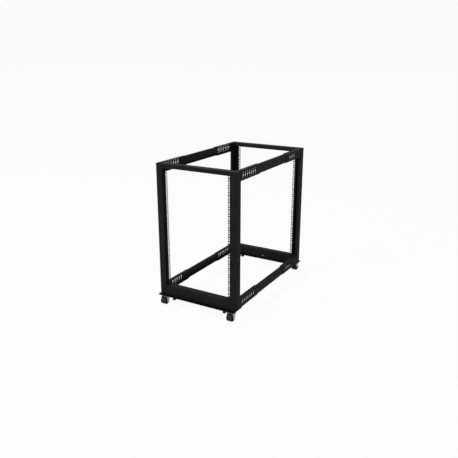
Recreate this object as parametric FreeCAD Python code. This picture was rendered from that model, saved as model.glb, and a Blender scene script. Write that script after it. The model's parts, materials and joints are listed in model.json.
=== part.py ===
import FreeCAD
import Part
import math
import os

# Four post open frame rack, 18 units high, on swivel casters and levelling feet.
#
# Millimetres. X runs across the rack, with the right-hand side at +X for someone who
# stands in front of it, Y runs from front to back and Z is up. The origin is on the
# floor, under the middle of the rack's outer box. Front and back are two welded
# frames of folded sheet steel; four middle rails bolted into their sleeves join them.

# Equipment opening, to the 19 inch rack standard.
UNIT = 44.45                        # height of one rack unit
UNITS = 18
RAIL_OPENING = 450.0                # clear width between the left and right flanges
HOLE_EDGE = 7.55                    # hole centres in from the flange's free edge
SQUARE_HOLE = 9.5                   # side of a cage nut hole
UNIT_MARGIN = 4.1                   # free height between the units and each beam
RAIL_DEPTH = 967.0                  # from the front rail faces to the rear rail faces

# Folded sheet.
SHEET = 2.0
BEND_OUTSIDE = 3.0
BEND_INSIDE = 1.0

# Posts: lip, side wall, face, return wall and the flange that holds the equipment.
WIDTH = 593.0
RAIL_FLANGE = 25.0
POST_SIDE = 53.0
POST_LIP = 16.0
RECESS = 18.5                       # the flange lies this far behind the post's face
KEYHOLE_R = 6.0                     # keyholes in the side wall: round part
KEYHOLE_NECK_R = 3.5                # half width of the neck below it
KEYHOLE_DROP = 13.5                 # from the round part's centre to the neck's end
KEYHOLE_SETBACK = 36.5              # behind the post's face
KEYHOLE_HEIGHTS = (247.0, 561.0)    # round parts above the post's foot

# Beams across the front and back, closed on top and open below.
BEAM_DEPTH = 48.0
BASE_BEAM_HEIGHT = 64.0
TOP_BEAM_HEIGHT = 27.5

# Base plates under the base beams.
PLATE = 3.0
PLATE_LIP = 32.0                    # the plate stands out this far, front and back
PLATE_CORNER = 1.0

# Side rails: sleeves welded to the frames, and middle rails that slide into them.
SLEEVE_HEIGHT = 64.0
SLEEVE_LIP = 27.5
SLEEVE_LENGTH = 254.0
RAIL_GAP = 0.3                      # between a middle rail and its sleeve, all round
RAIL_LIP = 20.0
RAIL_OVERLAP = 42.0                 # length of middle rail inside each sleeve
COLUMNS = 7
COLUMN_PITCH = 26.0
FIRST_COLUMN = 36.0                 # from the sleeve's welded end
ROW_OFFSET = 17.5                   # round holes above and below the slots
ROUND_HOLE_R = 3.5
SLOT_WIDTH = 8.0
SLOT_HEIGHT = 17.0

# Casters.
CASTER_HEIGHT = 69.5
CASTER_INSET = 37.5                 # swivel axis in from the rack's side
CASTER_SETBACK = 8.0                # swivel axis behind the posts' faces
CASTER_PLATE = 60.0
CASTER_PLATE_THICKNESS = 2.5
CASTER_PLATE_CORNER = 5.0
BALL_RACE_R = 20.0
BALL_RACE_TAPER = 3.0
SWIVEL_GAP = 0.3                    # between ball race and fork crown
KINGPIN_R = 5.0
KINGPIN_GAP = 0.06
RIVET_R = 6.5
RIVET_THICKNESS = 1.2
CASTER_TRAIL = 14.5                 # wheel axis outside the swivel axis
WHEEL_R = 25.0
WHEEL_WIDTH = 40.0
WHEEL_EDGE = 4.0
WHEEL_HUB_R = 9.0
WHEEL_RECESS_R = 18.0
WHEEL_RECESS_DEPTH = 5.0
HUB_STAND = 1.8                     # the hub stands out this far from the wheel's side
HUB_GAP = 0.2                       # between hub and fork leg
FORK_SHEET = 2.5
FORK_BEND = 6.0                     # outside radius of the bend from crown to leg
CROWN_CLEARANCE = 5.5               # fork crown above the wheel
CROWN_FRONT = 22.0                  # fork's reach in front of the swivel axis
CROWN_BACK = 19.0                   # and behind it
LEG_END_R = 8.0                     # half width of a fork leg at the axle
LEG_END_CORNER = 6.5
AXLE_R = 4.0
AXLE_GAP = 0.05                     # between axle and wheel bore
AXLE_HEX = 13.0                     # across the flats of the head and the nut
AXLE_HEAD = 4.0
AXLE_NUT = 5.0
AXLE_TAIL = 2.0                     # thread that shows past the nut

# Levelling feet.
FOOT_INSET = 98.5                   # stud in from the rack's side
FOOT_LIFT = 33.0                    # underside above the floor when screwed up
FOOT_R = 12.5
FOOT_THICKNESS = 8.0
FOOT_HEX = 17.0
FOOT_HEX_HEIGHT = 6.0
STUD_R = 5.0
STUD_TOP_GAP = 9.5                  # stud's end below the base beam's roof
STUD_GAP = 0.05                     # between stud and thread
BOSS_R = 9.0
BOSS_HEIGHT = 12.0

# Heights, from the floor up.
PLATE_TOP = CASTER_HEIGHT + PLATE
POST_FOOT = PLATE_TOP + BASE_BEAM_HEIGHT
POST_HEIGHT = UNITS * UNIT + 2 * UNIT_MARGIN
POST_HEAD = POST_FOOT + POST_HEIGHT
FRAME_TOP = POST_HEAD + TOP_BEAM_HEIGHT

# Places across and along the rack.
SIDE = WIDTH / 2
RAIL_EDGE = RAIL_OPENING / 2
POST_INNER = RAIL_EDGE + RAIL_FLANGE
FRONT_FACE = -RAIL_DEPTH / 2 - RECESS
SLEEVE_START = FRONT_FACE + BEAM_DEPTH
SLEEVE_SIDE = SIDE - SHEET
TOP_RAIL_FOOT = FRAME_TOP - SLEEVE_HEIGHT
BASE_RAIL_FOOT = PLATE_TOP
CASTER_X = SIDE - CASTER_INSET
CASTER_Y = FRONT_FACE + CASTER_SETBACK
FOOT_X = SIDE - FOOT_INSET
FOOT_Y = FRONT_FACE + RECESS

X, Y, Z = FreeCAD.Vector(1, 0, 0), FreeCAD.Vector(0, 1, 0), FreeCAD.Vector(0, 0, 1)


def box(x, y, z):
    """A block between the two values of x, y and z."""
    return Part.makeBox(x[1] - x[0], y[1] - y[0], z[1] - z[0], FreeCAD.Vector(x[0], y[0], z[0]))


def rounded_outline(corners):
    """A closed wire through corners (u, v, radius) of a flat outline."""
    bends = []
    for i, (u, v, radius) in enumerate(corners):
        here = FreeCAD.Vector(u, v, 0)
        back = FreeCAD.Vector(*corners[i - 1][:2], 0) - here
        ahead = FreeCAD.Vector(*corners[(i + 1) % len(corners)][:2], 0) - here
        back.normalize()
        ahead.normalize()
        if radius == 0:
            bends.append((here, here, here))
            continue
        half = back.getAngle(ahead) / 2
        reach = radius / math.tan(half)
        inward = (back + ahead).normalize()
        tip = here + inward * (radius / math.sin(half) - radius)
        bends.append((here + back * reach, tip, here + ahead * reach))
    edges = []
    for i, (start, tip, end) in enumerate(bends):
        if start != end:
            edges.append(Part.Arc(start, tip, end).toShape())
        edges.append(Part.LineSegment(end, bends[(i + 1) % len(bends)][0]).toShape())
    return Part.Wire(edges)


def extrude(corners, along, start, length):
    """A rounded outline drawn out along X, Y or Z; u and v are the next two axes in turn."""
    turns = {"X": (Y, Z, X), "Y": (Z, X, Y), "Z": (X, Y, Z)}
    u, v, w = turns[along]
    solid = Part.Face(rounded_outline(corners)).extrude(Z * length)
    solid.Placement = FreeCAD.Placement(w * start, FreeCAD.Rotation(u, v, w, "XYZ"))
    return solid


def mirror_x(shape):
    """The same piece for the other side of the rack."""
    return shape.mirror(FreeCAD.Vector(0, 0, 0), X)


def mirror_y(shape):
    """The same piece for the other end of the rack, front for back."""
    return shape.mirror(FreeCAD.Vector(0, 0, 0), Y)


def hexagon(across_flats, along, start, length):
    """A hexagonal bar about an axis through the origin."""
    corner_r = across_flats / math.sqrt(3)
    corners = [(corner_r * math.cos(math.radians(60 * i)), corner_r * math.sin(math.radians(60 * i)), 0)
               for i in range(6)]
    return extrude(corners, along, start, length)


def post():
    """Front right post: one folded sheet, cut away at its top where the sleeve comes in."""
    face, rail, back = FRONT_FACE, FRONT_FACE + RECESS, FRONT_FACE + POST_SIDE
    outline = [
        (RAIL_EDGE, rail, 0),
        (POST_INNER, rail, BEND_INSIDE),
        (POST_INNER, face, BEND_OUTSIDE),
        (SIDE, face, BEND_OUTSIDE),
        (SIDE, back, BEND_OUTSIDE),
        (SIDE - POST_LIP, back, 0),
        (SIDE - POST_LIP, back - SHEET, 0),
        (SIDE - SHEET, back - SHEET, BEND_INSIDE),
        (SIDE - SHEET, face + SHEET, BEND_INSIDE),
        (POST_INNER + SHEET, face + SHEET, BEND_INSIDE),
        (POST_INNER + SHEET, rail + SHEET, BEND_OUTSIDE),
        (RAIL_EDGE, rail + SHEET, 0),
    ]
    sheet = extrude(outline, "Z", POST_FOOT, POST_HEIGHT)
    sleeve_notch = box((SIDE - POST_LIP - SHEET, SLEEVE_SIDE), (SLEEVE_START, back + SHEET),
                       (TOP_RAIL_FOOT, FRAME_TOP))
    return sheet.cut(Part.makeCompound([sleeve_notch] + square_holes(rail) + keyholes(face)))


def square_holes(rail):
    """Cutters for the cage nut holes, a seventh, a half and six sevenths up each rack unit."""
    half = SQUARE_HOLE / 2
    x = RAIL_EDGE + HOLE_EDGE
    cutters = []
    for unit in range(UNITS):
        for share in (1 / 7, 1 / 2, 6 / 7):
            z = POST_FOOT + UNIT_MARGIN + (unit + share) * UNIT
            cutters.append(box((x - half, x + half), (rail - SHEET, rail + 2 * SHEET), (z - half, z + half)))
    return cutters


def keyholes(face):
    """Cutters for the keyholes in the side wall, necks down."""
    left, reach = SIDE - 2 * SHEET, 3 * SHEET
    y = face + KEYHOLE_SETBACK
    cutters = []
    for above in KEYHOLE_HEIGHTS:
        top = POST_FOOT + above
        foot = top - KEYHOLE_DROP
        cutters.append(Part.makeCylinder(KEYHOLE_R, reach, FreeCAD.Vector(left, y, top), X).fuse([
            Part.makeCylinder(KEYHOLE_NECK_R, reach, FreeCAD.Vector(left, y, foot), X),
            box((left, left + reach), (y - KEYHOLE_NECK_R, y + KEYHOLE_NECK_R), (foot, top))]))
    return cutters


def beam(foot, height):
    """Front beam across the full width: a folded tray turned upside down."""
    back = FRONT_FACE + BEAM_DEPTH
    block = box((-SIDE, SIDE), (FRONT_FACE, back), (foot, foot + height))
    folds = [edge for edge in block.Edges if edge.BoundBox.ZMax > foot + height / 2]
    block = block.makeFillet(BEND_OUTSIDE, folds)
    hollow = box((SHEET - SIDE, SIDE - SHEET), (FRONT_FACE + SHEET, back - SHEET),
                 (foot - SHEET, foot + height - SHEET))
    return block.cut(hollow)


def base_plate():
    """Front base plate under the beam, with a threaded boss for each levelling foot."""
    front, back = FRONT_FACE - PLATE_LIP, SLEEVE_START + PLATE_LIP
    corners = [(x, y, PLATE_CORNER) for x, y in ((-SIDE, front), (SIDE, front), (SIDE, back), (-SIDE, back))]
    plate = extrude(corners, "Z", CASTER_HEIGHT, PLATE)
    for x in (-FOOT_X, FOOT_X):
        boss = Part.makeCylinder(BOSS_R, BOSS_HEIGHT, FreeCAD.Vector(x, FOOT_Y, PLATE_TOP))
        thread = Part.makeCylinder(STUD_R + STUD_GAP, 3 * PLATE + BOSS_HEIGHT,
                                   FreeCAD.Vector(x, FOOT_Y, CASTER_HEIGHT - PLATE))
        plate = plate.fuse(boss).cut(thread)
    return plate


def channel(web, foot, height, lip, start, length):
    """A folded channel along Y, web on the right, with lips at its foot and top."""
    top = foot + height
    edge = web - lip
    outline = [
        (foot, web, BEND_OUTSIDE),
        (top, web, BEND_OUTSIDE),
        (top, edge, 0),
        (top - SHEET, edge, 0),
        (top - SHEET, web - SHEET, BEND_INSIDE),
        (foot + SHEET, web - SHEET, BEND_INSIDE),
        (foot + SHEET, edge, 0),
        (foot, edge, 0),
    ]
    return extrude(outline, "Y", start, length)


def sleeve(foot):
    """Front right sleeve with its three rows of adjusting holes."""
    shell = channel(SLEEVE_SIDE, foot, SLEEVE_HEIGHT, SLEEVE_LIP, SLEEVE_START, SLEEVE_LENGTH)
    middle = foot + SLEEVE_HEIGHT / 2
    left = SLEEVE_SIDE - 2 * SHEET
    cutters = []
    for column in range(COLUMNS):
        y = SLEEVE_START + FIRST_COLUMN + column * COLUMN_PITCH
        for z in (middle - ROW_OFFSET, middle + ROW_OFFSET):
            cutters.append(Part.makeCylinder(ROUND_HOLE_R, 3 * SHEET, FreeCAD.Vector(left, y, z), X))
        low, high = middle - SLOT_HEIGHT / 2, middle + SLOT_HEIGHT / 2
        near, far = y - SLOT_WIDTH / 2, y + SLOT_WIDTH / 2
        round_end = SLOT_WIDTH / 2 - BEND_INSIDE
        corners = [(near, low, round_end), (far, low, round_end), (far, high, round_end),
                   (near, high, round_end)]
        cutters.append(extrude(corners, "X", left, 3 * SHEET))
    return shell.cut(Part.makeCompound(cutters))


def middle_rail(foot):
    """Right middle rail, nested in the front and the rear sleeve."""
    inset = SHEET + RAIL_GAP
    start = SLEEVE_START + SLEEVE_LENGTH - RAIL_OVERLAP
    return channel(SLEEVE_SIDE - inset, foot + inset, SLEEVE_HEIGHT - 2 * inset, RAIL_LIP, start, -2 * start)


def caster_plate():
    """Top plate, ball race and kingpin of a caster, about its swivel axis."""
    half = CASTER_PLATE / 2
    underside = CASTER_HEIGHT - CASTER_PLATE_THICKNESS
    corners = [(-half, -half, CASTER_PLATE_CORNER), (half, -half, CASTER_PLATE_CORNER),
               (half, half, CASTER_PLATE_CORNER), (-half, half, CASTER_PLATE_CORNER)]
    plate = extrude(corners, "Z", underside, CASTER_PLATE_THICKNESS)
    crown_foot, crown_top = crown_heights()
    race_foot = crown_top + SWIVEL_GAP
    race = Part.makeCone(BALL_RACE_R - BALL_RACE_TAPER, BALL_RACE_R, underside - race_foot, Z * race_foot)
    rivet_top = crown_foot - KINGPIN_GAP
    kingpin = Part.makeCylinder(KINGPIN_R, race_foot - rivet_top + RIVET_THICKNESS,
                                Z * (rivet_top - RIVET_THICKNESS))
    rivet = Part.makeCylinder(RIVET_R, RIVET_THICKNESS, Z * (rivet_top - RIVET_THICKNESS))
    return plate.fuse([race, kingpin, rivet]).removeSplitter()


def crown_heights():
    """Underside and top of the fork's crown."""
    foot = 2 * WHEEL_R + CROWN_CLEARANCE
    return foot, foot + FORK_SHEET


def fork_leg_inside():
    """Distance from the wheel's middle plane to a fork leg."""
    return WHEEL_WIDTH / 2 + HUB_STAND + HUB_GAP


def caster_fork():
    """Fork of a caster about its swivel axis, at the origin; the wheel is in front."""
    foot, top = crown_heights()
    inside = fork_leg_inside()
    outside = inside + FORK_SHEET
    leg_foot = WHEEL_R - LEG_END_R
    bent_sheet = extrude([(leg_foot, -outside, 0), (top, -outside, FORK_BEND), (top, outside, FORK_BEND),
                          (leg_foot, outside, 0), (leg_foot, inside, 0), (foot, inside, FORK_BEND - FORK_SHEET),
                          (foot, -inside, FORK_BEND - FORK_SHEET), (leg_foot, -inside, 0)],
                         "Y", -CROWN_FRONT, CROWN_FRONT + CROWN_BACK)
    side = extrude([(-CROWN_FRONT, top, FORK_SHEET), (-CASTER_TRAIL - LEG_END_R, leg_foot, LEG_END_CORNER),
                    (-CASTER_TRAIL + LEG_END_R, leg_foot, LEG_END_CORNER), (CROWN_BACK, top, FORK_SHEET)],
                   "X", -outside, 2 * outside)
    king_hole = Part.makeCylinder(KINGPIN_R + KINGPIN_GAP, 3 * FORK_SHEET, Z * (foot - FORK_SHEET))
    axle_hole = Part.makeCylinder(AXLE_R, 2 * outside, wheel_centre() - X * outside, X)
    return bent_sheet.common(side).cut([king_hole, axle_hole]).removeSplitter()


def wheel_centre():
    """Middle of the wheel, seen from the swivel axis."""
    return FreeCAD.Vector(0, -CASTER_TRAIL, WHEEL_R)


def caster_wheel():
    """Wheel with rounded tread edges, recessed sides and a standing hub."""
    half = WHEEL_WIDTH / 2
    hub_half = half + HUB_STAND
    tread = Part.makeCylinder(WHEEL_R, WHEEL_WIDTH, X * -half, X)
    tread = tread.makeFillet(WHEEL_EDGE, [edge for edge in tread.Edges if edge.Length > math.pi * WHEEL_R])
    for start in (-half, half - WHEEL_RECESS_DEPTH):
        tread = tread.cut(Part.makeCylinder(WHEEL_RECESS_R, WHEEL_RECESS_DEPTH, X * start, X))
    hub = Part.makeCylinder(WHEEL_HUB_R, 2 * hub_half, X * -hub_half, X)
    bore = Part.makeCylinder(AXLE_R + AXLE_GAP, 2 * hub_half, X * -hub_half, X)
    wheel = tread.fuse(hub).cut(bore)
    wheel.translate(wheel_centre())
    return wheel


def caster_axle():
    """Axle bolt and nut, through both fork legs."""
    outside = fork_leg_inside() + FORK_SHEET
    length = 2 * outside + AXLE_NUT + AXLE_TAIL
    shaft = Part.makeCylinder(AXLE_R, length, X * -(outside + AXLE_NUT + AXLE_TAIL), X)
    head = hexagon(AXLE_HEX, "X", outside, AXLE_HEAD)
    nut = hexagon(AXLE_HEX, "X", -outside - AXLE_NUT, AXLE_NUT)
    axle = shaft.fuse([head, nut])
    axle.translate(wheel_centre())
    return axle


def levelling_foot():
    """Pad, hexagon and threaded stud of a levelling foot, about the stud's axis."""
    pad = Part.makeCylinder(FOOT_R, FOOT_THICKNESS, Z * FOOT_LIFT)
    pad = pad.makeFillet(BEND_INSIDE, [edge for edge in pad.Edges if edge.Length > math.pi * FOOT_R])
    hex_foot = FOOT_LIFT + FOOT_THICKNESS
    nut = hexagon(FOOT_HEX, "Z", hex_foot, FOOT_HEX_HEIGHT)
    stud_foot = hex_foot + FOOT_HEX_HEIGHT
    stud_top = POST_FOOT - SHEET - STUD_TOP_GAP
    stud = Part.makeCylinder(STUD_R, stud_top - stud_foot, Z * stud_foot)
    return pad.fuse([nut, stud])


def placed(shape, x, y, turn=0):
    """A copy of the shape, turned about Z and moved along the floor."""
    copy = shape.copy()
    copy.rotate(FreeCAD.Vector(0, 0, 0), Z, turn)
    copy.translate(FreeCAD.Vector(x, y, 0))
    return copy


def build():
    """Every piece of the rack, by name."""
    nodes = {}
    ends = {"front": lambda shape: shape, "rear": mirror_y}
    sides = {"right": lambda shape: shape, "left": mirror_x}
    for end, turn_end in ends.items():
        nodes[f"base_plate_{end}"] = turn_end(base_plate())
        nodes[f"base_beam_{end}"] = turn_end(beam(PLATE_TOP, BASE_BEAM_HEIGHT))
        nodes[f"top_beam_{end}"] = turn_end(beam(POST_HEAD, TOP_BEAM_HEIGHT))
        for side, turn_side in sides.items():
            nodes[f"post_{end}_{side}"] = turn_side(turn_end(post()))
            nodes[f"sleeve_top_{end}_{side}"] = turn_side(turn_end(sleeve(TOP_RAIL_FOOT)))
            nodes[f"sleeve_base_{end}_{side}"] = turn_side(turn_end(sleeve(BASE_RAIL_FOOT)))
    for side, turn_side in sides.items():
        nodes[f"middle_rail_top_{side}"] = turn_side(middle_rail(TOP_RAIL_FOOT))
        nodes[f"middle_rail_base_{side}"] = turn_side(middle_rail(BASE_RAIL_FOOT))
    for end, along, turn in (("front", 1, 0), ("rear", -1, 180)):
        for side, across in (("right", 1), ("left", -1)):
            swivel = (across * CASTER_X, along * CASTER_Y, turn)
            nodes[f"caster_plate_{end}_{side}"] = placed(caster_plate(), *swivel)
            nodes[f"caster_fork_{end}_{side}"] = placed(caster_fork(), *swivel)
            nodes[f"caster_wheel_{end}_{side}"] = placed(caster_wheel(), *swivel)
            nodes[f"caster_axle_{end}_{side}"] = placed(caster_axle(), *swivel)
            nodes[f"levelling_foot_{end}_{side}"] = placed(levelling_foot(), across * FOOT_X, along * FOOT_Y)
    return nodes


def main():
    """Write one STEP file for each piece."""
    os.makedirs("parts", exist_ok=True)
    for name, shape in build().items():
        shape.exportStep(f"parts/{name}.step")
        volume = shape.Volume / 1000
        print(f"{name:32s} {volume:9.1f} cm3  solids {len(shape.Solids)}  valid {shape.isValid()}")


main()
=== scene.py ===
"""Visual model of a four post open frame rack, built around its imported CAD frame."""

import json
import logging
import math
from collections.abc import Callable, Iterable
from dataclasses import dataclass, field
from enum import Enum

import bmesh
import bpy
from mathutils import Matrix, Vector


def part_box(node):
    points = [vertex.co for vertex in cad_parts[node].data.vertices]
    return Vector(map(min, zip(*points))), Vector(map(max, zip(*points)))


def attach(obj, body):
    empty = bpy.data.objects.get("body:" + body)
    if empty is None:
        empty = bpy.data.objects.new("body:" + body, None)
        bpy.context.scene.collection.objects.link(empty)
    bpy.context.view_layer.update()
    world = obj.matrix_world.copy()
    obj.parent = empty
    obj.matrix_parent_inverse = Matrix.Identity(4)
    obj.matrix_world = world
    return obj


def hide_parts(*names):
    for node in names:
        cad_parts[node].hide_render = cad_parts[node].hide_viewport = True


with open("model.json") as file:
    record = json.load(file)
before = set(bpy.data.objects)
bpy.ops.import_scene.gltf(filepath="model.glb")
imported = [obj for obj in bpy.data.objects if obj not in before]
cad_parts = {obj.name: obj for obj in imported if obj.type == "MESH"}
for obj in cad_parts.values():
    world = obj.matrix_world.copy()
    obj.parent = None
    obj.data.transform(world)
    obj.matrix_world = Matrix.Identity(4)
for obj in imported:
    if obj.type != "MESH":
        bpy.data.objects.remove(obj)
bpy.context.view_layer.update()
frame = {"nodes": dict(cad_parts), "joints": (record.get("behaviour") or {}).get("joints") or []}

MM = 0.001
TOUCH = 1e-6  # metres within which something counts as lying at a place
ALONG = 0.9  # share of a direction along an axis that counts as running along it
NOISE_LOW, NOISE_HIGH = 0.3, 0.7  # range that a noise pattern's values mostly fill
FRAME_BODY = "rack_frame"
LOG = logging.getLogger("rack")

# Picks faces by their middle and normal, or edges by their middle and direction.
Test = Callable[[Vector, Vector], bool]


class Axis(Enum):
    """Direction of a turned piece, with the turn that brings a primitive's Z axis to it."""

    X = (0.0, math.pi / 2, 0.0)
    Y = (-math.pi / 2, 0.0, 0.0)
    Z = (0.0, 0.0, 0.0)

    @property
    def vector(self) -> Vector:
        """Unit vector along the axis."""
        return Vector([float(self.name == letter) for letter in "XYZ"])


class Sides(Enum):
    """Numbers of sides of turned parts, more of them for a larger round."""

    HEXAGON = 6
    SCREW_HEAD = 24
    SMALL_ROUND = 32
    NUT_SEAT = 40
    LARGE_ROUND = 48
    WHEEL = 64


class Facing(Enum):
    """Way that a screw head looks, as the turn about Z from facing the front."""

    FRONT = 0.0
    RIGHT = math.pi / 2
    REAR = math.pi
    LEFT = -math.pi / 2


class Level(Enum):
    """Levels of the side rails, each with its word in the nodes' names."""

    TOP = "top"
    BASE = "base"


class Corner(Enum):
    """Corners of the rack, each with the signs of its X and Y side."""

    FRONT_LEFT = (-1, -1)
    FRONT_RIGHT = (1, -1)
    REAR_LEFT = (-1, 1)
    REAR_RIGHT = (1, 1)

    @property
    def label(self) -> str:
        """Ending of this corner's node and body names."""
        return self.name.lower()

    @property
    def end(self) -> str:
        """Word for the corner's end of the rack."""
        return self.label.split("_")[0]

    @property
    def side(self) -> str:
        """Word for the corner's side of the rack."""
        return self.label.split("_")[1]

    @property
    def across(self) -> int:
        """Sign of the corner's X side."""
        return self.value[0]

    @property
    def along(self) -> int:
        """Sign of the corner's Y side."""
        return self.value[1]


def lies_at(axis: Axis, distance: float) -> Test:
    """Gives the test for what lies at a distance along an axis."""
    return lambda middle, way: abs(middle.dot(axis.vector) - distance) < TOUCH


def looks_along(axis: Axis, sign: int) -> Test:
    """Gives the test for faces that look along an axis, forwards or backwards."""
    return lambda middle, normal: normal.dot(axis.vector) * sign > ALONG


def runs_level(middle: Vector, way: Vector) -> bool:
    """Tells whether an edge runs level."""
    return abs(way.z) < 1 - ALONG


def linear(hex_code: str) -> tuple[float, float, float, float]:
    """Turns an sRGB hex colour to linear light.

    Args:
        hex_code: Colour such as "#1a1b1c".

    Returns:
        Red, green, blue and an alpha of 1.
    """
    values = [int(hex_code[i:i + 2], 16) / 255 for i in (1, 3, 5)]
    red, green, blue = (v / 12.92 if v <= 0.04045 else ((v + 0.055) / 1.055) ** 2.4 for v in values)
    return red, green, blue, 1.0


def add_node(tree: bpy.types.NodeTree, kind: str, settings: dict | None = None,
             inputs: dict | None = None, links: dict | None = None) -> bpy.types.Node:
    """Adds a node to a material.

    Args:
        tree: Node tree of the material.
        kind: Blender's name of the node type.
        settings: Values of the node's own properties.
        inputs: Values of its input sockets, by socket name or number.
        links: Output sockets to join to its inputs, by socket name or number.

    Returns:
        The new node.
    """
    node = tree.nodes.new(kind)
    for name, value in (settings or {}).items():
        setattr(node, name, value)
    for name, value in (inputs or {}).items():
        node.inputs[name].default_value = value
    for name, socket in (links or {}).items():
        tree.links.new(socket, node.inputs[name])
    return node


@dataclass(frozen=True)
class Finish:
    """Surface with a soft mottle in colour and gloss and a fine relief.

    Sizes of the patterns are in millimetres on the object.
    """

    name: str
    dark: str
    light: str
    metallic: float
    specular: float
    gloss: tuple[float, float]
    mottle_mm: float
    grain_mm: float
    relief_mm: float
    mottle_detail: float = 3.0
    grain_detail: float = 2.0

    def make(self) -> bpy.types.Material:
        """Builds the material.

        Returns:
            The node based material.
        """
        material = bpy.data.materials.new(self.name)
        material.use_nodes = True
        tree = material.node_tree
        shader = tree.nodes["Principled BSDF"]
        shader.inputs["Metallic"].default_value = self.metallic
        shader.inputs["Specular IOR Level"].default_value = self.specular
        where = add_node(tree, "ShaderNodeTexCoord").outputs["Object"]
        mottle = add_node(tree, "ShaderNodeTexNoise",
                          inputs={"Scale": 1 / (self.mottle_mm * MM), "Detail": self.mottle_detail},
                          links={"Vector": where})
        tint = add_node(tree, "ShaderNodeValToRGB", links={"Fac": mottle.outputs["Fac"]})
        stops = ((NOISE_LOW, self.dark), (NOISE_HIGH, self.light))
        for element, (position, colour) in zip(tint.color_ramp.elements, stops):
            element.position = position
            element.color = linear(colour)
        gloss = add_node(tree, "ShaderNodeMapRange",
                         inputs={"From Min": NOISE_LOW, "From Max": NOISE_HIGH,
                                 "To Min": self.gloss[0], "To Max": self.gloss[1]},
                         links={"Value": mottle.outputs["Fac"]})
        grain = add_node(tree, "ShaderNodeTexNoise",
                         inputs={"Scale": 1 / (self.grain_mm * MM), "Detail": self.grain_detail},
                         links={"Vector": where})
        relief = add_node(tree, "ShaderNodeBump",
                          inputs={"Strength": 1.0, "Distance": self.relief_mm * MM},
                          links={"Height": grain.outputs["Fac"]})
        tree.links.new(tint.outputs["Color"], shader.inputs["Base Color"])
        tree.links.new(gloss.outputs["Result"], shader.inputs["Roughness"])
        tree.links.new(relief.outputs["Normal"], shader.inputs["Normal"])
        return material


class Finishes:
    """All finishes of the rack, each made once."""

    def __init__(self) -> None:
        """Makes the materials."""
        # Polyester powder coat baked on steel: matt black that only shines at a glancing look, with
        # a faint orange peel and a slow change of tone where the coat is thicker.
        self.powder_coat = Finish(
            name="black_powder_coat", dark="#1e1e1f", light="#242425", metallic=0.0, specular=0.015,
            gloss=(0.4, 0.52), mottle_mm=90.0, grain_mm=3.0, relief_mm=0.02).make()
        # The same coat on the thick base plates, with its colour painted darker as painted shade where
        # the plates lie under the beams; it hardly shines at all.
        self.flat_coat = Finish(
            name="flat_black_powder_coat", dark="#0a0a0b", light="#0f0f10", metallic=0.0, specular=0.02,
            gloss=(0.5, 0.62), mottle_mm=90.0, grain_mm=3.0, relief_mm=0.02).make()
        # Electroplated zinc on pressed steel: a bluish metal with cloudy patches.
        self.zinc = Finish(
            name="bright_zinc_plate", dark="#83878b", light="#a9acad", metallic=1.0, specular=0.5,
            gloss=(0.28, 0.44), mottle_mm=9.0, grain_mm=1.2, relief_mm=0.01).make()
        # Black oxide on alloy steel screws and studs: dark grey, slightly oily.
        self.black_oxide = Finish(
            name="black_oxide_steel", dark="#131314", light="#1c1c1d", metallic=0.0, specular=0.1,
            gloss=(0.34, 0.46), mottle_mm=4.0, grain_mm=0.8, relief_mm=0.01).make()
        # Polyurethane tread, cast: soft sheen, scuffed dull in patches.
        self.tread = Finish(
            name="cast_polyurethane_tread", dark="#17171a", light="#232325", metallic=0.0, specular=0.15,
            gloss=(0.42, 0.62), mottle_mm=7.0, grain_mm=1.0, relief_mm=0.03).make()
        # Glass filled nylon, moulded: a dry, finely sparked surface.
        self.nylon = Finish(
            name="moulded_nylon", dark="#141415", light="#1d1d1f", metallic=0.0, specular=0.15,
            gloss=(0.45, 0.6), mottle_mm=5.0, grain_mm=0.7, relief_mm=0.03).make()


def clear_bench() -> None:
    """Leaves edit mode and deselects every object."""
    if bpy.context.mode == "EDIT_MESH":
        bpy.ops.object.mode_set(mode="OBJECT")
    bpy.ops.object.select_all(action="DESELECT")


def coat(name: str, material: bpy.types.Material) -> None:
    """Gives a CAD node a finish.

    Args:
        name: Name of the node.
        material: The finish.
    """
    slots = frame["nodes"][name].data.materials
    slots.clear()
    slots.append(material)
    LOG.info("%s is finished in %s", name, material.name)


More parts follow.
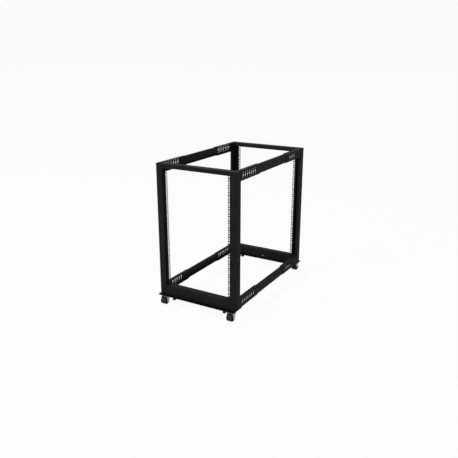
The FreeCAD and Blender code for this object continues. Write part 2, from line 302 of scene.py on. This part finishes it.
class Workpiece:
    """Mesh on the bench: starts as a primitive at its size and place and is then shaped."""

    def __init__(self, piece: bpy.types.Object) -> None:
        """Takes an object to work on."""
        self.object = piece

    @classmethod
    def primitive(cls) -> "Workpiece":
        """Takes the primitive that was just added, with its size and place applied."""
        bpy.ops.object.transform_apply(location=True, rotation=True, scale=True)
        return cls(bpy.context.object)

    @classmethod
    def bar(cls, radius: float, length: float, foot: Vector, axis: Axis, sides: Sides) -> "Workpiece":
        """Starts a round or hexagonal bar.

        Args:
            radius: Radius to the corners, in metres.
            length: Length along the axis, in metres.
            foot: Middle of the end face that the bar starts from.
            axis: Direction of the bar.
            sides: Number of its sides.

        Returns:
            The workpiece.
        """
        clear_bench()
        bpy.ops.mesh.primitive_cylinder_add(vertices=sides.value, radius=radius, depth=length,
                                            location=foot + axis.vector * length / 2,
                                            rotation=axis.value)
        return cls.primitive()

    @classmethod
    def hexagon(cls, flats: float, height: float, foot: Vector) -> "Workpiece":
        """Starts an upright hexagon of a width across its flats."""
        return cls.bar(flats / math.sqrt(3), height, foot, Axis.Z, Sides.HEXAGON)

    @classmethod
    def block(cls, low: Vector, high: Vector) -> "Workpiece":
        """Starts a rectangular block.

        Args:
            low: Its lowest corner.
            high: Its highest corner.

        Returns:
            The workpiece.
        """
        clear_bench()
        bpy.ops.mesh.primitive_cube_add(size=1.0, location=(low + high) / 2, scale=high - low)
        return cls.primitive()

    def _rest(self) -> None:
        """Leaves edit mode, with only this piece selected."""
        clear_bench()
        self.object.select_set(True)
        bpy.context.view_layer.objects.active = self.object

    def _edit(self, mode: str) -> bmesh.types.BMesh:
        """Opens edit mode with nothing selected.

        Args:
            mode: What is to be selected, FACE or EDGE.

        Returns:
            The mesh.
        """
        bpy.context.view_layer.objects.active = self.object
        if bpy.context.mode != "EDIT_MESH":
            bpy.ops.object.mode_set(mode="EDIT")
        bpy.ops.mesh.select_mode(type=mode)
        bpy.ops.mesh.select_all(action="DESELECT")
        return bmesh.from_edit_mesh(self.object.data)

    def faces(self, test: Test) -> "Workpiece":
        """Selects faces.

        Args:
            test: Test of a face's middle and normal.

        Returns:
            The piece.
        """
        mesh = self._edit("FACE")
        for item in mesh.faces:
            item.select_set(test(item.calc_center_median(), item.normal))
        bmesh.update_edit_mesh(self.object.data)
        return self

    def edges(self, test: Test) -> "Workpiece":
        """Selects edges.

        Args:
            test: Test of an edge's middle and direction.

        Returns:
            The piece.
        """
        mesh = self._edit("EDGE")
        for item in mesh.edges:
            start, end = (vertex.co for vertex in item.verts)
            item.select_set(test((start + end) / 2, (end - start).normalized()))
        bmesh.update_edit_mesh(self.object.data)
        return self

    def inset(self, width: float) -> "Workpiece":
        """Insets the selected faces."""
        bpy.ops.mesh.inset(thickness=width, depth=0.0)
        return self

    def extrude(self, move: Vector) -> "Workpiece":
        """Extrudes what is selected."""
        bpy.ops.mesh.extrude_region_move(TRANSFORM_OT_translate={"value": move})
        return self

    def resize(self, factors: tuple[float, float, float], centre: Vector) -> "Workpiece":
        """Scales what is selected about a point."""
        bpy.ops.transform.resize(value=factors, center_override=centre)
        return self

    def bevel(self, width: float, segments: int = 2) -> "Workpiece":
        """Rounds the selected edges."""
        bpy.ops.mesh.bevel(offset=width, segments=segments, affect="EDGES")
        return self

    def close(self, sides: int) -> "Workpiece":
        """Closes open ends and turns all faces outwards.

        Args:
            sides: Most sides that an open end has.

        Returns:
            The piece.
        """
        self._edit("FACE")
        bpy.ops.mesh.select_all(action="SELECT")
        bpy.ops.mesh.fill_holes(sides=sides)
        bpy.ops.mesh.select_all(action="SELECT")
        bpy.ops.mesh.normals_make_consistent(inside=False)
        return self

    def modify(self, kind: str, **settings: object) -> "Workpiece":
        """Adds a modifier and applies it.

        Args:
            kind: Blender's name of the modifier type.
            **settings: Values of its properties.

        Returns:
            The piece.
        """
        self._rest()
        modifier = self.object.modifiers.new(kind.lower(), kind)
        for name, value in settings.items():
            setattr(modifier, name, value)
        bpy.ops.object.modifier_apply(modifier=modifier.name)
        return self

    def cut(self, tool: "Workpiece") -> "Workpiece":
        """Cuts another workpiece's shape out of this one.

        Args:
            tool: The shape, which is used up.

        Returns:
            The piece.
        """
        tool._rest()
        self.modify("BOOLEAN", operation="DIFFERENCE", object=tool.object, solver="EXACT")
        tool.discard()
        return self

    def join(self, others: list["Workpiece"]) -> "Workpiece":
        """Makes other workpieces part of this one.

        Args:
            others: The other pieces, which are used up.

        Returns:
            The piece.
        """
        self._rest()
        for piece in others:
            piece.object.select_set(True)
        bpy.ops.object.join()
        return self

    def copy(self, move: Vector, turn: float = 0.0, axis: Axis = Axis.Z) -> "Workpiece":
        """Copies the piece with its own mesh.

        Args:
            move: Where the piece's origin goes.
            turn: Turn about the axis before the move, in radians.
            axis: Axis of the turn.

        Returns:
            The copy.
        """
        self._rest()
        twin = Workpiece(self.object.copy())
        twin.object.data = self.object.data.copy()
        bpy.context.scene.collection.objects.link(twin.object)
        twin.object.data.transform(Matrix.Translation(move) @ Matrix.Rotation(turn, 4, axis.vector))
        return twin

    def discard(self) -> None:
        """Removes the piece."""
        clear_bench()
        bpy.data.objects.remove(self.object)

    def smooth(self, degrees: float = 35.0) -> "Workpiece":
        """Smooths the shading over soft edges.

        Args:
            degrees: Angle from which an edge stays sharp.

        Returns:
            The piece.
        """
        self._rest()
        bpy.ops.object.shade_smooth_by_angle(angle=math.radians(degrees))
        return self

    def paint(self, *materials: bpy.types.Material) -> "Workpiece":
        """Gives the piece its materials.

        Args:
            *materials: The materials. All faces start in the first.

        Returns:
            The piece.
        """
        self.object.data.materials.clear()
        for material in materials:
            self.object.data.materials.append(material)
        return self

    def repaint(self, index: int, test: Test) -> "Workpiece":
        """Gives some faces another of the materials.

        Args:
            index: Number of the material.
            test: Test of a face's middle and normal.

        Returns:
            The piece.
        """
        self._rest()
        for polygon in self.object.data.polygons:
            if test(polygon.center, polygon.normal):
                polygon.material_index = index
        return self

    def fit(self, name: str, body: str, slot: str, *replaced: str) -> None:
        """Names the finished piece and fixes it to its body.

        Args:
            name: Name of the piece.
            body: Body that it moves with.
            slot: Material slot of the record; not used.
            *replaced: Nodes that it stands for.
        """
        self._rest()
        self.object.name = self.object.data.name = name
        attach(self.object, body)
        if replaced:
            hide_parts(*replaced)
        LOG.info("%s rides on %s", name, body)


def place(model: Workpiece, spots: Iterable[tuple[Vector, float]]) -> Workpiece:
    """Copies a small part to its places and joins the copies.

    Args:
        model: Part at the origin.
        spots: Place and turn about Z of each copy.

    Returns:
        One workpiece with all the copies.
    """
    first, *others = [model.copy(where, turn) for where, turn in spots]
    return first.join(others)


@dataclass
class ButtonScrew:
    """Button head screw with a hexagon socket and a washer, looking to the front from the origin."""

    head_radius: float = 6.0 * MM
    head_height: float = 3.2 * MM
    dome_share: float = 0.8  # share of the head's height that is domed
    socket_flats: float = 4.0 * MM
    socket_depth: float = 2.0 * MM
    socket_taper: float = 0.7  # width of the socket cutter's inner end as a share of its outer end
    washer_radius: float = 7.5 * MM
    washer_height: float = 0.9 * MM
    washer_edge: float = 0.25 * MM

    def make(self, finish: bpy.types.Material) -> Workpiece:
        """Models the head and its washer.

        Args:
            finish: Material of the screw.

        Returns:
            The workpiece.
        """
        out = -self.washer_height
        tip = out - self.head_height
        head = Workpiece.bar(self.head_radius, self.head_height, Vector((0, tip, 0)),
                             Axis.Y, Sides.SCREW_HEAD)
        head.edges(lies_at(Axis.Y, tip)).bevel(self.dome_share * self.head_height, segments=4)
        socket = Workpiece.bar(self.socket_flats / math.sqrt(3), 2 * self.socket_depth,
                               Vector((0, tip - self.socket_depth, 0)), Axis.Y, Sides.HEXAGON)
        socket.faces(looks_along(Axis.Y, 1))
        socket.resize((self.socket_taper, 1.0, self.socket_taper), Vector((0, tip, 0)))
        head.cut(socket)
        washer = Workpiece.bar(self.washer_radius, self.washer_height, Vector((0, out, 0)),
                               Axis.Y, Sides.SMALL_ROUND)
        washer.edges(lies_at(Axis.Y, out)).bevel(self.washer_edge)
        return head.join([washer]).smooth().paint(finish)


@dataclass
class HexScrew:
    """Hexagon head on a flange, hanging down from the origin."""

    flats: float = 10.0 * MM
    height: float = 3.6 * MM
    edge: float = 0.6 * MM
    crown_inset: float = 0.9 * MM
    crown_spread: float = 1.02  # how much wider the inset crown is then made
    flange_radius: float = 6.2 * MM
    flange_height: float = 0.8 * MM
    flange_edge: float = 0.3 * MM

    def make(self, finish: bpy.types.Material) -> Workpiece:
        """Models the head.

        Args:
            finish: Material of the head.

        Returns:
            The workpiece.
        """
        end = Vector((0, 0, -self.height))
        head = Workpiece.hexagon(self.flats, self.height, end)
        head.faces(looks_along(Axis.Z, -1)).inset(self.crown_inset)
        head.resize((self.crown_spread, self.crown_spread, 1.0), end)
        rim = self.flats / 2 - self.crown_inset / 2
        head.edges(lambda middle, way: abs(middle.z - end.z) < TOUCH and middle.xy.length > rim)
        head.bevel(self.edge)
        flange = Workpiece.bar(self.flange_radius, self.flange_height,
                               Vector((0, 0, -self.flange_height)), Axis.Z, Sides.SMALL_ROUND)
        flange.edges(lies_at(Axis.Z, -self.flange_height)).bevel(self.flange_edge)
        return head.join([flange]).smooth().paint(finish)


@dataclass
class SheetFrame:
    """Welded frames and middle rails: the CAD's own sheet metal, powder coated, and its screws."""

    finishes: Finishes
    post_screw_inset: float = 11.5 * MM
    beam_screw_drop: float = 11.5 * MM
    post_screw_drop: float = 20.0 * MM
    base_screw_drop: float = 10.5 * MM
    lap_screw_rise: float = 17.5 * MM
    ground_height: float = 12.5 * MM
    ground_head_radius: float = 4.8 * MM
    ground_washer_radius: float = 6.2 * MM
    plates: str = "base_plate"
    sheets: tuple[str, ...] = ("base_beam", "top_beam", "post", "sleeve", "middle_rail")

    def build(self) -> None:
        """Coats the sheet metal and adds its screws."""
        for name in frame["nodes"]:
            if name.startswith(self.plates):
                # The base plates take the darker copy of the coat: painted shade, not a different
                # finish.
                coat(name, self.finishes.flat_coat)
            elif name.startswith(self.sheets):
                coat(name, self.finishes.powder_coat)
        screw = ButtonScrew().make(self.finishes.black_oxide)
        for corner in Corner:
            self.add_face_screws(corner, screw)
            for rail in Level:
                self.add_lap_screws(corner, rail, screw)
        screw.discard()
        self.add_ground_screw()

    def add_face_screws(self, corner: Corner, screw: Workpiece) -> None:
        """Adds the screws on the face of a post and of the beams at its ends.

        Args:
            corner: Corner of the post.
            screw: Model of the screw.
        """
        low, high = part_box(f"post_{corner.label}")
        face = low.y if corner.along < 0 else high.y
        side = high.x if corner.across > 0 else low.x
        x = side - corner.across * self.post_screw_inset
        facing = Facing.FRONT if corner.along < 0 else Facing.REAR
        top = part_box(f"top_beam_{corner.end}")[1].z
        heights = (low.z - self.base_screw_drop, high.z - self.post_screw_drop,
                   top - self.beam_screw_drop)
        spots = [(Vector((x, face, z)), facing.value) for z in heights]
        place(screw, spots).fit(f"face_screws_{corner.label}", FRAME_BODY, "frame_black")

    def add_lap_screws(self, corner: Corner, rail: Level, screw: Workpiece) -> None:
        """Adds the screws that hold a middle rail in its sleeve.

        Args:
            corner: Corner that the sleeve belongs to.
            rail: Level of the rail.
            screw: Model of the screw.
        """
        low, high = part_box(f"sleeve_{rail.value}_{corner.label}")
        rail_low, rail_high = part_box(f"middle_rail_{rail.value}_{corner.side}")
        x = high.x if corner.across > 0 else low.x
        y = (high.y + rail_low.y) / 2 if corner.along < 0 else (low.y + rail_high.y) / 2
        middle = (low.z + high.z) / 2
        facing = Facing.RIGHT if corner.across > 0 else Facing.LEFT
        rises = (-self.lap_screw_rise, self.lap_screw_rise)
        spots = [(Vector((x, y, middle + rise)), facing.value) for rise in rises]
        place(screw, spots).fit(f"rail_screws_{rail.value}_{corner.label}", FRAME_BODY, "frame_black")

    def add_ground_screw(self) -> None:
        """Adds the earthing screw on the inner wall of the rear base beam."""
        low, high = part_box("base_beam_rear")
        kind = ButtonScrew(head_radius=self.ground_head_radius, washer_radius=self.ground_washer_radius)
        screw = kind.make(self.finishes.zinc)
        where = Vector(((low.x + high.x) / 2, low.y, low.z + self.ground_height))
        screw.copy(where, Facing.FRONT.value).fit("ground_screw", FRAME_BODY, "bright_zinc")
        screw.discard()


@dataclass
class Caster:
    """Swivel caster: zinc plated plate and fork, ball race, plate screws and a solid wheel."""

    finishes: Finishes
    plate_thickness: float = 2.5 * MM
    screw_pitch: float = 42.0 * MM
    screw_turn: float = 0.4  # radians from one plate screw's turn to the next
    cap_radius: float = 6.5 * MM
    cap_height: float = 2.4 * MM
    cap_dome: float = 1.9 * MM
    cap_clearance: float = 7.0 * MM  # a screw nearer the beam than this has its head inside it
    race_radius: float = 19.6 * MM
    race_height: float = 3.2 * MM
    race_wall: float = 1.3 * MM
    race_edge: float = 0.7 * MM
    tread_edge: float = 4.0 * MM
    rim_width: float = 3.0 * MM
    recess: float = 5.0 * MM
    hub_radius: float = 9.0 * MM
    hub_stand: float = 1.8 * MM
    bore_radius: float = 4.05 * MM
    rib_count: int = 8
    rib_width: float = 2.2 * MM
    rib_drop: float = 1.2 * MM
    rib_root: float = 0.5 * MM  # how far a rib runs into the hub
    rib_tip: float = 0.3 * MM  # and into the rim
    moulded_edge: float = 0.5 * MM
    models: dict[str, Workpiece] = field(default_factory=dict)

    def build(self) -> None:
        """Models the parts once, about the origin, and fits a set to each corner."""
        label = Corner.FRONT_LEFT.label
        joints = {joint["name"]: Vector(joint["pos_m"]) for joint in frame["joints"] if "pos_m" in joint}
        low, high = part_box(f"caster_wheel_{label}")
        crown_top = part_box(f"caster_fork_{label}")[1].z
        plate_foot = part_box(f"caster_plate_{label}")[1].z - self.plate_thickness
        base_plate_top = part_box("base_beam_front")[0].z
        radius, width = (high.z - low.z) / 2, high.x - low.x - 2 * self.hub_stand
        self.models["wheel"] = self.make_wheel(radius, width)
        self.models["race"] = self.make_race(crown_top)
        self.models["screw"] = HexScrew().make(self.finishes.zinc)
        self.models["cap"] = self.make_cap()
        for corner in Corner:
            swivel = joints[f"swivel_{corner.label}"]
            self.fit_screws(corner, swivel, plate_foot, base_plate_top)
            self.fit_moving_parts(corner, swivel, joints[f"wheel_spin_{corner.label}"])
            for part in ("plate", "fork", "axle"):
                coat(f"caster_{part}_{corner.label}", self.finishes.zinc)
        for model in self.models.values():
            model.discard()

    def make_wheel(self, radius: float, width: float) -> Workpiece:
        """Models the wheel about the X axis, with recessed, ribbed sides.

        Args:
            radius: Radius of the tread.
            width: Width of the tread.

        Returns:
            The wheel.
        """
        half = width / 2
        end = half + self.hub_stand
        wheel = Workpiece.bar(radius, width, Vector((-half, 0, 0)), Axis.X, Sides.WHEEL)
        wheel.edges(lambda middle, way: abs(abs(middle.x) - half) < TOUCH)
        wheel.bevel(self.tread_edge, segments=5)
        floor_radius = radius - self.tread_edge - self.rim_width
        for sign in (-1, 1):
            wheel.faces(lambda middle, normal: looks_along(Axis.X, sign)(middle, normal)
                        and abs(middle.x * sign - half) < TOUCH)
            wheel.inset(self.rim_width).extrude(Vector((-sign * self.recess, 0, 0)))
            wheel.inset(floor_radius - self.hub_radius)
            wheel.extrude(Vector((sign * (self.recess + self.hub_stand), 0, 0)))
            wheel.edges(lies_at(Axis.X, sign * end)).bevel(self.moulded_edge)
        reach = half + 2 * self.hub_stand
        wheel.cut(Workpiece.bar(self.bore_radius, 2 * reach, Vector((-reach, 0, 0)),
                                Axis.X, Sides.SMALL_ROUND))
        for sign in (-1, 1):
            rib = self.make_rib(sign * (half - self.recess), sign, floor_radius)
            turns = [2 * math.pi * i / self.rib_count for i in range(1, self.rib_count)]
            wheel.join([rib.copy(Vector(), turn, Axis.X) for turn in turns] + [rib])
        wheel.smooth(degrees=30).paint(self.finishes.tread, self.finishes.nylon)
        rim = floor_radius + self.moulded_edge
        return wheel.repaint(1, lambda middle, normal: middle.yz.length < rim)

    def make_rib(self, floor_x: float, sign: int, outer: float) -> Workpiece:
        """Models one radial rib of the wheel's side.

        Args:
            floor_x: X of the recess floor.
            sign: Side of the wheel.
            outer: Radius that the rib reaches.

        Returns:
            The rib.
        """
        top = floor_x + sign * (self.recess - self.rib_drop)
        rib = Workpiece.block(
            Vector((min(floor_x, top), -self.rib_width / 2, self.hub_radius - self.rib_root)),
            Vector((max(floor_x, top), self.rib_width / 2, outer + self.rib_tip)))
        rib.edges(lambda middle, way: abs(middle.x - top) < TOUCH and abs(way.z) > ALONG)
        return rib.bevel(self.moulded_edge)

    def make_race(self, foot: float) -> Workpiece:
        """Models the ring round the ball race's lower row, on top of the fork.

        Args:
            foot: Height of the fork's crown.

        Returns:
            The ring.
        """
        ring = Workpiece.bar(self.race_radius, self.race_height, Vector((0, 0, foot)),
                             Axis.Z, Sides.LARGE_ROUND)
        ring.edges(lies_at(Axis.Z, foot + self.race_height)).bevel(self.race_edge, segments=3)
        ring.cut(Workpiece.bar(self.race_radius - self.race_wall, 3 * self.race_height,
                               Vector((0, 0, foot - self.race_height)), Axis.Z, Sides.LARGE_ROUND))
        return ring.smooth().paint(self.finishes.zinc)

    def make_cap(self) -> Workpiece:
        """Models the low round head of a plate screw, seen on top of the base plate.

        Returns:
            The head.
        """
        cap = Workpiece.bar(self.cap_radius, self.cap_height, Vector(), Axis.Z, Sides.SMALL_ROUND)
        cap.edges(lies_at(Axis.Z, self.cap_height)).bevel(self.cap_dome, segments=4)
        return cap.smooth().paint(self.finishes.black_oxide)

    def fit_screws(self, corner: Corner, swivel: Vector, plate_foot: float,
                   base_plate_top: float) -> None:
        """Fits the plate screws, and the heads of those that stand clear of the base beam.

        Args:
            corner: Corner of the rack.
            swivel: Point on the swivel axis.
            plate_foot: Underside of the caster's plate.
            base_plate_top: Top of the base plate.
        """
        half = self.screw_pitch / 2
        holes = [Vector((swivel.x + across * half, swivel.y + along * half, 0))
                 for across in (-1, 1) for along in (-1, 1)]
        below = [(hole + Vector((0, 0, plate_foot)), self.screw_turn * i)
                 for i, hole in enumerate(holes)]
        place(self.models["screw"], below).fit(f"plate_screws_{corner.label}", FRAME_BODY, "bright_zinc")
        low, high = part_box(f"base_beam_{corner.end}")
        above = [(hole + Vector((0, 0, base_plate_top)), 0.0) for hole in holes
                 if not low.y - self.cap_clearance < hole.y < high.y + self.cap_clearance]
        place(self.models["cap"], above).fit(f"screw_caps_{corner.label}", FRAME_BODY, "frame_black")

    def fit_moving_parts(self, corner: Corner, swivel: Vector, hub: Vector) -> None:
        """Fits the ring of the ball race and the wheel.

        Args:
            corner: Corner of the rack.
            swivel: Point on the swivel axis.
            hub: Middle of the wheel.
        """
        label = corner.label
        ring = self.models["race"].copy(Vector((swivel.x, swivel.y, 0)))
        ring.fit(f"race_cup_{label}", f"caster_swivel_{label}", "bright_zinc")
        wheel = self.models["wheel"].copy(hub)
        wheel.fit(f"wheel_{label}", f"caster_roll_{label}", "wheel_black", f"caster_wheel_{label}")


@dataclass
class LevellingFoot:
    """Levelling foot: moulded pad on a black hexagon and threaded stud, with a lock nut."""

    finishes: Finishes
    pad_height: float = 8.0 * MM
    pad_rim: float = 0.6  # share of the pad's height below its boss
    pad_shoulder: float = 0.22  # share of the pad's radius outside its boss
    pad_draft: float = 0.9  # width of the boss's top as a share of its foot's
    pad_sole: float = 0.12  # width of the ring that it stands on, as a share of its radius
    pad_hollow: float = 0.8 * MM
    pad_margin: float = 0.9  # share of its radius outside which its edges are rounded
    pad_edge: float = 1.0 * MM
    hexagon_flats: float = 17.0 * MM
    hexagon_height: float = 6.0 * MM
    hexagon_edge: float = 0.7 * MM
    stud_radius: float = 5.0 * MM
    thread_pitch: float = 1.5 * MM
    thread_depth: float = 0.6 * MM
    thread_steps: int = 20
    stud_chamfer: float = 0.3 * MM
    nut_flats: float = 17.0 * MM
    nut_height: float = 8.0 * MM
    nut_edge: float = 0.9 * MM
    bore_gap: float = 0.05 * MM
    washer_radius: float = 10.0 * MM
    washer_height: float = 1.5 * MM
    washer_edge: float = 0.3 * MM

    def build(self) -> None:
        """Models the foot once, about its axis, and fits one to each corner."""
        low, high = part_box("levelling_foot_front_left")
        pad = self.make_pad((high.x - low.x) / 2, low.z)
        stud = self.make_stud(low.z + self.pad_height, high.z)
        nut = self.make_nut(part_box("base_plate_front")[0].z)
        for corner in Corner:
            low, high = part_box(f"levelling_foot_{corner.label}")
            axis = Vector(((low.x + high.x) / 2, (low.y + high.y) / 2, 0))
            body = f"leveller_{corner.label}"
            pad.copy(axis).fit(f"foot_pad_{corner.label}", body, "foot_steel",
                               f"levelling_foot_{corner.label}")
            stud.copy(axis).fit(f"foot_stud_{corner.label}", body, "foot_steel")
            nut.copy(axis).fit(f"lock_nut_{corner.label}", FRAME_BODY, "foot_steel")
        for model in (pad, stud, nut):
            model.discard()

    def make_pad(self, radius: float, foot: float) -> Workpiece:
        """Models the pad: a flared disc with a raised boss under the hexagon.

        Args:
            radius: Radius of the pad.
            foot: Height of its underside.

        Returns:
            The pad.
        """
        base = Vector((0, 0, foot))
        rim_height = self.pad_rim * self.pad_height
        pad = Workpiece.bar(radius, rim_height, base, Axis.Z, Sides.LARGE_ROUND)
        pad.faces(looks_along(Axis.Z, 1)).inset(self.pad_shoulder * radius)
        pad.extrude(Vector((0, 0, self.pad_height - rim_height)))
        pad.resize((self.pad_draft, self.pad_draft, 1.0), base)
        pad.faces(looks_along(Axis.Z, -1)).inset(self.pad_sole * radius)
        pad.extrude(Vector((0, 0, self.pad_hollow)))
        margin = self.pad_margin * radius
        pad.edges(lambda middle, way: middle.xy.length > margin and runs_level(middle, way))
        return pad.bevel(self.pad_edge, segments=3).smooth().paint(self.finishes.nylon)

    def make_stud(self, foot: float, top: float) -> Workpiece:
        """Models the hexagon and the thread, which runs up through the base plate into the beam.

        Args:
            foot: Height of the hexagon's foot.
            top: Height of the stud's upper end.

        Returns:
            The stud.
        """
        hexagon = Workpiece.hexagon(self.hexagon_flats, self.hexagon_height, Vector((0, 0, foot)))
        hexagon.edges(runs_level).bevel(self.hexagon_edge)
        thread = self.make_thread(foot + self.hexagon_height, top)
        return thread.join([hexagon]).smooth(degrees=25).paint(self.finishes.black_oxide)

    def make_thread(self, start: float, top: float) -> Workpiece:
        """Models a thread by winding one ridge about the axis.

        Args:
            start: Height where the thread starts.
            top: Height where its core ends, a little past the last turn.

        Returns:
            The thread, on its core.
        """
        root = self.stud_radius - self.thread_depth
        turns = math.floor((top - start) / self.thread_pitch) - 1
        radius = self.thread_depth / 1.5  # a triangle is one and a half radii high
        clear_bench()
        bpy.ops.mesh.primitive_circle_add(vertices=3, radius=radius,
                                          location=(root + radius / 2, 0, start + self.thread_pitch / 2),
                                          rotation=(-math.pi / 2, -math.pi / 2, 0))
        ridge = Workpiece.primitive()
        ridge.modify("SCREW", angle=2 * math.pi, screw_offset=self.thread_pitch, iterations=turns,
                     steps=self.thread_steps, render_steps=self.thread_steps)
        ridge.close(sides=3)
        core = Workpiece.bar(root, top - start, Vector((0, 0, start)), Axis.Z, Sides.SMALL_ROUND)
        core.edges(runs_level).bevel(self.stud_chamfer, segments=1)
        return core.join([ridge])

    def make_nut(self, plate_foot: float) -> Workpiece:
        """Models the lock nut and washer under the base plate.

        Args:
            plate_foot: Height of the base plate's underside.

        Returns:
            The nut.
        """
        seat = Vector((0, 0, plate_foot - self.washer_height))
        foot = seat - Vector((0, 0, self.nut_height))
        nut = Workpiece.hexagon(self.nut_flats, self.nut_height, foot)
        nut.edges(runs_level).bevel(self.nut_edge)
        washer = Workpiece.bar(self.washer_radius, self.washer_height, seat, Axis.Z, Sides.NUT_SEAT)
        washer.edges(runs_level).bevel(self.washer_edge)
        for part in (nut, washer):
            part.cut(Workpiece.bar(self.stud_radius + self.bore_gap, 4 * self.nut_height,
                                   foot - Vector((0, 0, self.nut_height)), Axis.Z, Sides.NUT_SEAT))
        return nut.join([washer]).smooth().paint(self.finishes.black_oxide)


@dataclass(frozen=True)
class Softbox:
    """Square soft lamp that looks at the middle of the rack."""

    name: str
    where: tuple[float, float, float]
    power: float
    size: float = 3.2
    aim: tuple[float, float, float] = (0.0, 0.0, 0.5)

    def build(self) -> None:
        """Adds the lamp."""
        lamp = bpy.data.lights.new(self.name, "AREA")
        lamp.size = self.size
        lamp.energy = self.power
        holder = bpy.data.objects.new(self.name, lamp)
        bpy.context.scene.collection.objects.link(holder)
        holder.location = self.where
        way = Vector(self.aim) - Vector(self.where)
        holder.rotation_euler = way.to_track_quat("-Z", "Y").to_euler()


@dataclass
class Studio:
    """Pale floor, soft lamps and the camera."""

    floor_half: float = 40.0
    floor_paint: str = "#e6e6e6"
    floor_roughness: float = 0.8
    floor_glow: float = 0.94
    white: str = "#ffffff"
    backdrop: str = "#fafafa"
    room_light: str = "#9c9c9c"
    lamps: tuple[Softbox, ...] = (Softbox("key_softbox", (-2.6, -3.4, 4.2), 215.0),
                                  Softbox("fill_softbox", (3.8, -1.2, 3.2), 30.0))
    camera_place: tuple[float, float, float] = (1.8525, -3.2745, 1.6534)
    camera_tilt: float = 17.93
    camera_turn: float = 30.13
    lens: float = 43.413

    def build(self) -> None:
        """Sets up the stage."""
        bpy.context.scene.view_settings.view_transform = "Standard"
        self.add_floor()
        self.light_world()
        for lamp in self.lamps:
            lamp.build()
        self.add_camera()

    def add_floor(self) -> None:
        """Adds the floor, which the camera and reflections see as pale as the backdrop."""
        clear_bench()
        bpy.ops.mesh.primitive_plane_add(size=2 * self.floor_half, location=(0, 0, 0))
        floor = bpy.context.object
        floor.name = floor.data.name = "floor"
        material = bpy.data.materials.new("pale_floor_paint")
        material.use_nodes = True
        tree = material.node_tree
        shader = tree.nodes["Principled BSDF"]
        shader.inputs["Base Color"].default_value = linear(self.floor_paint)
        shader.inputs["Roughness"].default_value = self.floor_roughness
        glow = add_node(tree, "ShaderNodeEmission",
                        inputs={"Color": linear(self.white), "Strength": 1.0})
        mix = add_node(tree, "ShaderNodeMixShader",
                       links={0: self.seen_pale(tree, self.floor_glow), 1: shader.outputs["BSDF"],
                              2: glow.outputs["Emission"]})
        tree.links.new(mix.outputs["Shader"], tree.nodes["Material Output"].inputs["Surface"])
        floor.data.materials.append(material)

    def seen_pale(self, tree: bpy.types.NodeTree, camera_share: float) -> bpy.types.NodeSocket:
        """Tells the rays that see the pale backdrop from those that only light the rack.

        Args:
            tree: Node tree of the floor or the world.
            camera_share: Share of the pale tone in what the camera sees.

        Returns:
            The share of the pale tone: the camera's for its rays, 1 in metal and glass, else 0.
        """
        rays = add_node(tree, "ShaderNodeLightPath")
        shown = add_node(tree, "ShaderNodeMath", {"operation": "MULTIPLY"}, {1: camera_share},
                         {0: rays.outputs["Is Camera Ray"]})
        for kind in ("Is Glossy Ray", "Is Transmission Ray"):
            shown = add_node(tree, "ShaderNodeMath", {"operation": "MAXIMUM"},
                             links={0: shown.outputs["Value"], 1: rays.outputs[kind]})
        return shown.outputs["Value"]

    def light_world(self) -> None:
        """Makes the world pale for the camera and for reflections, and a plain grey light otherwise."""
        world = bpy.data.worlds.new("backdrop")
        bpy.context.scene.world = world
        world.use_nodes = True
        tree = world.node_tree
        back = tree.nodes["Background"]
        back.inputs["Color"].default_value = linear(self.backdrop)
        light = add_node(tree, "ShaderNodeBackground",
                         inputs={"Color": linear(self.room_light), "Strength": 1.0})
        mix = add_node(tree, "ShaderNodeMixShader",
                       links={0: self.seen_pale(tree, 1.0), 1: light.outputs["Background"],
                              2: back.outputs["Background"]})
        tree.links.new(mix.outputs["Shader"], tree.nodes["World Output"].inputs["Surface"])

    def add_camera(self) -> None:
        """Adds the camera."""
        camera = bpy.data.cameras.new("camera")
        camera.lens = self.lens
        holder = bpy.data.objects.new("camera", camera)
        bpy.context.scene.collection.objects.link(holder)
        holder.location = self.camera_place
        holder.rotation_euler = (math.radians(90 - self.camera_tilt), 0, math.radians(self.camera_turn))
        bpy.context.scene.camera = holder


def main() -> None:
    """Builds the visual model piece by piece."""
    logging.basicConfig(level=logging.INFO, format="%(name)s: %(message)s")
    bpy.ops.object.select_all(action="DESELECT")
    finishes = Finishes()
    Studio().build()
    SheetFrame(finishes).build()
    Caster(finishes).build()
    LevellingFoot(finishes).build()


if __name__ == "__main__":
    main()
